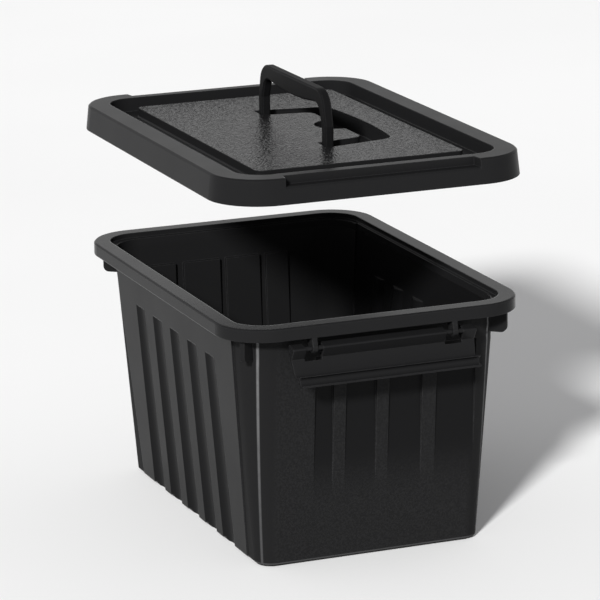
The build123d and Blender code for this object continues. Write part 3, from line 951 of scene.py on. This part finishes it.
def make_floor(stage):
    """A wide pale disc under the box."""
    mesh = bpy.data.meshes.new("floor")
    shape = bmesh.new()
    bmesh.ops.create_circle(shape, cap_ends=True, segments=FLOOR_SIDES, radius=FLOOR_RADIUS)
    shape.to_mesh(mesh)
    shape.free()
    floor = bpy.data.objects.new("floor", mesh)
    floor.location.z = -FLOOR_DROP
    bpy.context.scene.collection.objects.link(floor)
    material, tree, shader, vector = new_material("Pale floor")
    tone = add_noise(tree, vector, FLOOR_TONE_SCALE, FLOOR_TONE_DETAIL, FLOOR_TONE_ROUGHNESS)
    patches = add_range(tree, tone, FLOOR_TONE_START, FLOOR_TONE_FULL)
    patch_colour = [part * FLOOR_PATCH_SHADE for part in stage.floor_colour]
    colour = blend_colours(tree, patches, stage.floor_colour, patch_colour)
    tree.links.new(colour, shader.inputs["Base Color"])
    shader.inputs["Roughness"].default_value = FLOOR_ROUGHNESS
    shader.inputs["Specular IOR Level"].default_value = 0.0
    mesh.materials.append(material)


def make_surroundings(stage):
    """Soft light all round, palest behind the box; reflections see the backdrop on every side."""
    world = bpy.data.worlds.new("Studio")
    bpy.context.scene.world = world
    world.use_nodes = True
    tree = world.node_tree
    coords = tree.nodes.new("ShaderNodeTexCoord")
    _, y, z = split_axes(tree, coords.outputs["Generated"])
    rays = tree.nodes.new("ShaderNodeLightPath")
    behind = add_range(tree, y, BACKDROP_START, BACKDROP_FULL)
    mirrored = add_math(tree, "MAXIMUM", behind, rays.outputs["Is Glossy Ray"])
    around = blend_colours(tree, mirrored, stage.room_colour, stage.backdrop_colour)
    high_up = add_range(tree, z, ZENITH_START, ZENITH_FULL)
    overhead = blend_colours(tree, high_up, around, stage.zenith_colour)
    seen = blend_colours(tree, rays.outputs["Is Camera Ray"], overhead, stage.horizon_colour)
    background = tree.nodes["Background"]
    tree.links.new(seen, background.inputs["Color"])
    background.inputs["Strength"].default_value = 1.0


def view_back(azimuth, elevation):
    """Direction from the box to something at an angle round it and above the floor."""
    return Vector((
        math.sin(azimuth) * math.cos(elevation),
        -math.cos(azimuth) * math.cos(elevation),
        math.sin(elevation),
    ))


def make_key_light(stage):
    """A broad soft light from the front left, even over the whole floor and kept out of reflections."""
    lamp = bpy.data.lights.new("Key light", "SUN")
    lamp.energy = stage.key_strength
    lamp.angle = stage.key_spread
    light = bpy.data.objects.new("Key light", lamp)
    light.visible_glossy = False
    bpy.context.scene.collection.objects.link(light)
    back = view_back(stage.key_azimuth, stage.key_elevation)
    light.rotation_euler = back.to_track_quat("Z", "Y").to_euler()


def make_camera(stage):
    """The camera at the photograph's angle."""
    back = view_back(stage.view_azimuth, stage.view_elevation)
    right = Vector((0.0, 0.0, 1.0)).cross(back).normalized()
    up = back.cross(right)
    cosine = math.cos(stage.view_roll)
    sine = math.sin(stage.view_roll)
    rolled_right = cosine * right + sine * up
    rolled_up = cosine * up - sine * right
    matrix = Matrix((rolled_right, rolled_up, back)).transposed().to_4x4()
    matrix.translation = Vector(stage.view_place)
    lens = bpy.data.cameras.new("Photo camera")
    lens.sensor_width = SENSOR_WIDTH
    lens.lens = stage.view_lens
    lens.clip_start = CLIP_START
    lens.clip_end = CLIP_END
    camera = bpy.data.objects.new("Photo camera", lens)
    camera.matrix_world = matrix
    bpy.context.scene.collection.objects.link(camera)
    bpy.context.scene.camera = camera


class STORAGEBOX_OT_set_stage(bpy.types.Operator):
    """Set the pale floor, the studio light and the camera"""

    bl_idname = "storage_box.set_stage"
    bl_label = "Set Stage"

    def execute(self, context):
        stage = stage_of(context)
        context.scene.view_settings.view_transform = "Standard"
        make_floor(stage)
        make_surroundings(stage)
        make_key_light(stage)
        make_camera(stage)
        return {"FINISHED"}


class STORAGEBOX_PT_panel(bpy.types.Panel):
    """Settings and steps of the storage box"""

    bl_idname = "STORAGEBOX_PT_panel"
    bl_label = "Storage Box"
    bl_space_type = "VIEW_3D"
    bl_region_type = "UI"
    bl_category = "Storage Box"

    def draw(self, context):
        layout = self.layout
        for settings in (finish_of(context), stage_of(context)):
            box = layout.box()
            for key in settings.bl_rna.properties.keys():
                if key not in {"rna_type", "name"}:
                    box.prop(settings, key)
        for operator in OPERATORS:
            layout.operator(operator.bl_idname)


OPERATORS = (
    STORAGEBOX_OT_finish_tub,
    STORAGEBOX_OT_finish_lid,
    STORAGEBOX_OT_finish_handle,
    STORAGEBOX_OT_finish_latches,
    STORAGEBOX_OT_set_stage,
)
CLASSES = (PlasticFinish, StageLook, *OPERATORS, STORAGEBOX_PT_panel)


def register():
    """Make the settings, operators and panel known."""
    for item in CLASSES:
        bpy.utils.register_class(item)
    bpy.types.Scene.storage_box_finish = PointerProperty(type=PlasticFinish)
    bpy.types.Scene.storage_box_stage = PointerProperty(type=StageLook)


def unregister():
    """Take the settings, operators and panel away again."""
    del bpy.types.Scene.storage_box_stage
    del bpy.types.Scene.storage_box_finish
    for item in reversed(CLASSES):
        bpy.utils.unregister_class(item)


def main():
    """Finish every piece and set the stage."""
    register()
    bpy.ops.storage_box.finish_tub()
    bpy.ops.storage_box.finish_lid()
    bpy.ops.storage_box.finish_handle()
    bpy.ops.storage_box.finish_latches()
    bpy.ops.storage_box.set_stage()


if __name__ == "__main__":
    main()
